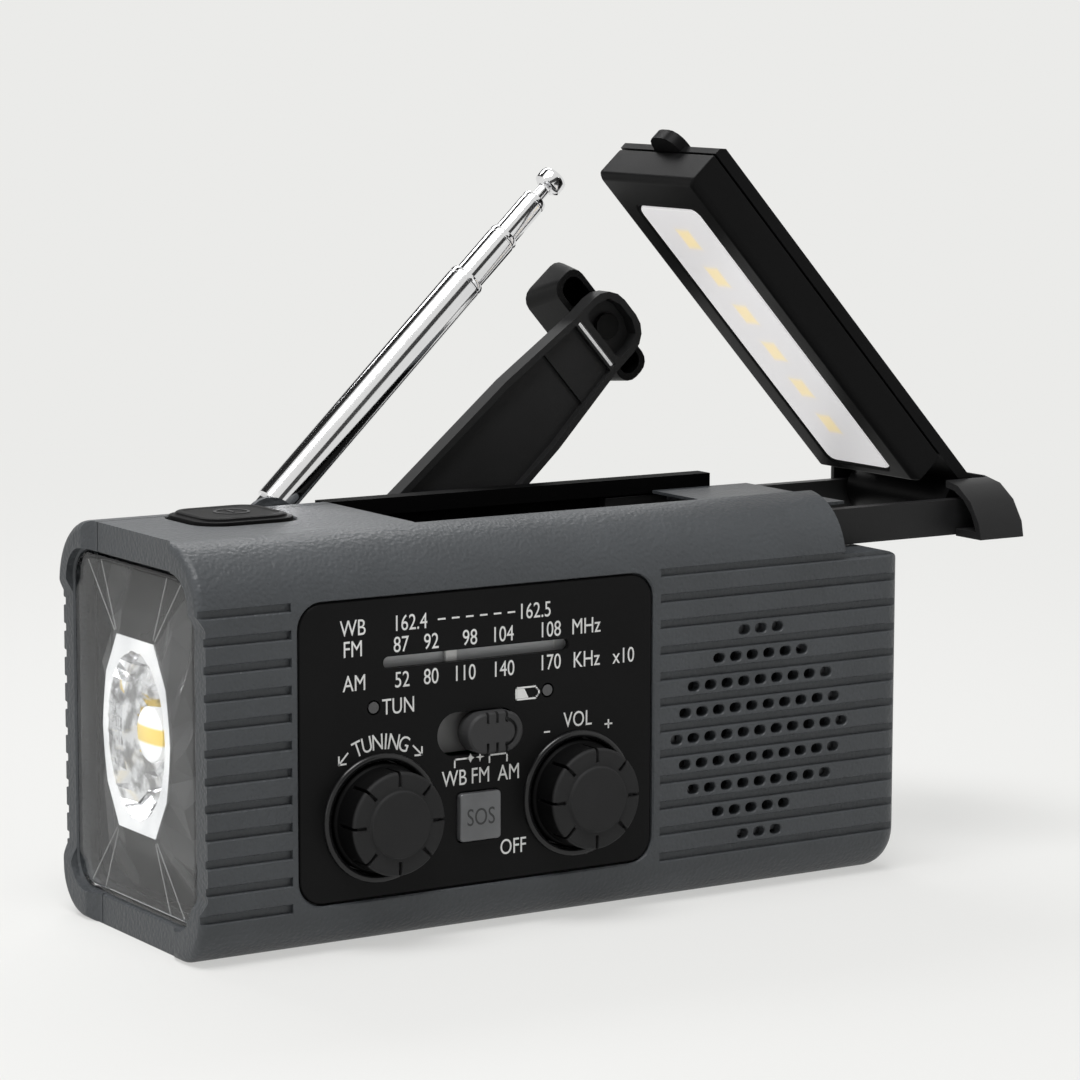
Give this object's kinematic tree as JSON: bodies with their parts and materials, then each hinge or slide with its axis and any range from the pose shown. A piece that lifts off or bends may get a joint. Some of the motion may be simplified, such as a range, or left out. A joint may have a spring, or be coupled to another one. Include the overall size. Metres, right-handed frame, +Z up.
{
  "type": "hand crank weather radio",
  "caption": "Portable weather radio with a torch head, dial panel, slide-out reading lamp with a solar panel, telescopic antenna and a hand crank on its back.",
  "frame": {"origin": "centre of the casing's footprint, on the surface it stands on", "axes": "+X along the casing from the torch to the lamp's slide, -Y towards the user at the dial, +Z up"},
  "size_m": [0.1866, 0.0828, 0.1466],
  "materials": {
    "casing_grey": "dark blue-grey with a fine leather grain",
    "satin_black": "satin black plastic",
    "smooth_black": "smooth black plastic",
    "clear_plastic": "clear, slightly smoked plastic",
    "mirror_coat": "plastic with a bright mirror coat",
    "bright_chrome": "bright plated metal",
    "plain_steel": "plain steel",
    "turned_brass": "turned brass",
    "board_green": "green circuit board",
    "switch_grey": "thin sheet metal round a plastic body",
    "mid_grey": "mid grey plastic",
    "plain_white": "white plastic",
    "milky_plastic": "milky plastic",
    "warm_light": "yellow light under a clear dome",
    "nylon": "off-white nylon",
    "pressed_paper": "dark pressed paper",
    "cell_sleeve": "blue shrink sleeve",
    "ferrite": "dark ferrite with a copper coil",
    "solar_cells": "dark solar cells under a clear coat",
    "soft_rubber": "soft black rubber"
  },
  "bodies": {
    "casing": {"front_shell": "casing_grey", "rear_shell": "casing_grey", "case_screw_1": "plain_steel", "case_screw_2": "plain_steel", "case_screw_3": "plain_steel", "case_screw_4": "plain_steel", "torch_lens": "clear_plastic", "torch_surround": "smooth_black", "torch_reflector": "mirror_coat", "torch_led": "warm_light", "torch_switch": "board_green", "dial_plate": "smooth_black", "scale_strip": "mid_grey", "dial_cord": "nylon", "light_guide": "clear_plastic", "band_switch": "switch_grey", "main_board": "board_green", "board_screw_1": "plain_steel", "board_screw_2": "plain_steel", "tuning_capacitor": "milky_plastic", "ferrite_rod": "ferrite", "rod_cradle": "nylon", "speaker_frame": "plain_steel", "speaker_cone": "pressed_paper", "battery_cell": "cell_sleeve", "battery_holder": "satin_black", "lamp_tray": "satin_black", "gearbox_plate": "plain_steel", "gear_plate_screw_1": "plain_steel", "gear_plate_screw_2": "plain_steel", "gear_axle": "plain_steel", "generator_body": "plain_steel", "antenna_bracket": "bright_chrome", "port_sockets": "board_green"},
    "tuning": {"tuning_knob": "satin_black", "tuning_shaft": "turned_brass"},
    "pointer": {"dial_pointer": "plain_white"},
    "volume": {"volume_knob": "satin_black"},
    "band_slider": {"band_switch_cap": "satin_black"},
    "signal_key": {"sos_button": "mid_grey"},
    "torch_key": {"torch_button": "smooth_black"},
    "slide": {"lamp_slide": "satin_black", "lamp_hinge_pin": "plain_steel", "lamp_leaf": "casing_grey"},
    "lamp": {"lamp_cover": "satin_black", "lamp_housing": "satin_black", "lamp_diffuser": "milky_plastic", "lamp_led_board": "plain_white", "solar_panel": "solar_cells"},
    "crank": {"crank_shaft": "nylon", "crank_arm": "satin_black", "grip_pin": "plain_steel"},
    "grip": {"crank_grip": "satin_black"},
    "idler": {"intermediate_gear": "nylon"},
    "rotor": {"generator_pinion": "turned_brass"},
    "mast": {"antenna_mast": "bright_chrome"},
    "section_2": {"antenna_section_2": "bright_chrome"},
    "section_3": {"antenna_section_3": "bright_chrome"},
    "tip": {"antenna_tip": "bright_chrome"},
    "flap": {"port_cover": "soft_rubber"}
  },
  "joints": [
    {"name": "lamp_slide_run", "type": "slide", "parent": "casing", "child": "slide", "axis": [1, 0, 0], "range_m": [-0.0305, 0]},
    {"name": "lamp_hinge", "type": "hinge", "parent": "slide", "child": "lamp", "pos_m": [0.1025, 0, 0.0704], "axis": [0, 1, 0], "range_deg": [-47.8, 42.2], "deforming": ["lamp_leaf"]},
    {"name": "crank_turn", "type": "hinge", "parent": "casing", "child": "crank", "pos_m": [-0.016, 0.0305, 0.0485], "axis": [0, 1, 0], "continuous": true},
    {"name": "idler_spin", "type": "hinge", "parent": "casing", "child": "idler", "pos_m": [-0.00227, 0.015, 0.03806], "axis": [0, 1, 0], "continuous": true},
    {"name": "rotor_spin", "type": "hinge", "parent": "casing", "child": "rotor", "pos_m": [0.012, 0.015, 0.04], "axis": [0, 1, 0], "continuous": true},
    {"name": "crank_grip_spin", "type": "hinge", "parent": "crank", "child": "grip", "pos_m": [0.04809, 0.0348, 0.1054], "axis": [0, 1, 0], "continuous": true},
    {"name": "antenna_tilt", "type": "hinge", "parent": "casing", "child": "mast", "pos_m": [-0.037, 0.026, 0.0713], "axis": [0, -1, 0], "range_deg": [-43.8, 66]},
    {"name": "antenna_pull_2", "type": "slide", "parent": "mast", "child": "section_2", "axis": [0.7218, 0, 0.6921], "range_m": [-0.0115, 0.034]},
    {"name": "antenna_pull_3", "type": "slide", "parent": "section_2", "child": "section_3", "axis": [0.7218, 0, 0.6921], "range_m": [-0.0095, 0.034]},
    {"name": "antenna_pull_tip", "type": "slide", "parent": "section_3", "child": "tip", "axis": [0.7218, 0, 0.6921], "range_m": [-0.003, 0.034]},
    {"name": "tuning_turn", "type": "hinge", "parent": "casing", "child": "tuning", "pos_m": [-0.041, -0.0358, 0.024], "axis": [0, 1, 0], "range_deg": [-86, 146]},
    {"name": "pointer_run", "type": "slide", "parent": "casing", "child": "pointer", "axis": [1, 0, 0], "range_m": [-0.013, 0.022]},
    {"name": "volume_turn", "type": "hinge", "parent": "casing", "child": "volume", "pos_m": [0.0015, -0.0358, 0.024], "axis": [0, 1, 0], "range_deg": [-140, 140]},
    {"name": "band_slide", "type": "slide", "parent": "casing", "child": "band_slider", "axis": [1, 0, 0], "range_m": [-0.0049, 0]},
    {"name": "signal_press", "type": "slide", "parent": "casing", "child": "signal_key", "axis": [0, 1, 0], "range_m": [0, 0.0008], "stiffness_N_per_m": 500, "springref_m": -0.0005},
    {"name": "torch_press", "type": "slide", "parent": "casing", "child": "torch_key", "axis": [0, 0, -1], "range_m": [0, 0.0008], "stiffness_N_per_m": 800, "springref_m": -0.0006},
    {"name": "port_cover_swing", "type": "hinge", "parent": "casing", "child": "flap", "pos_m": [0.0773, 0.004, 0.0128], "axis": [0, 1, 0], "range_deg": [0, 95]}
  ],
  "couplings": [
    {"joint": "idler_spin", "follows": "crank_turn", "ratio": -2.6},
    {"joint": "rotor_spin", "follows": "crank_turn", "ratio": 7.15},
    {"joint": "pointer_run", "follows": "tuning_turn", "m_per_rad": 0.0086}
  ]
}
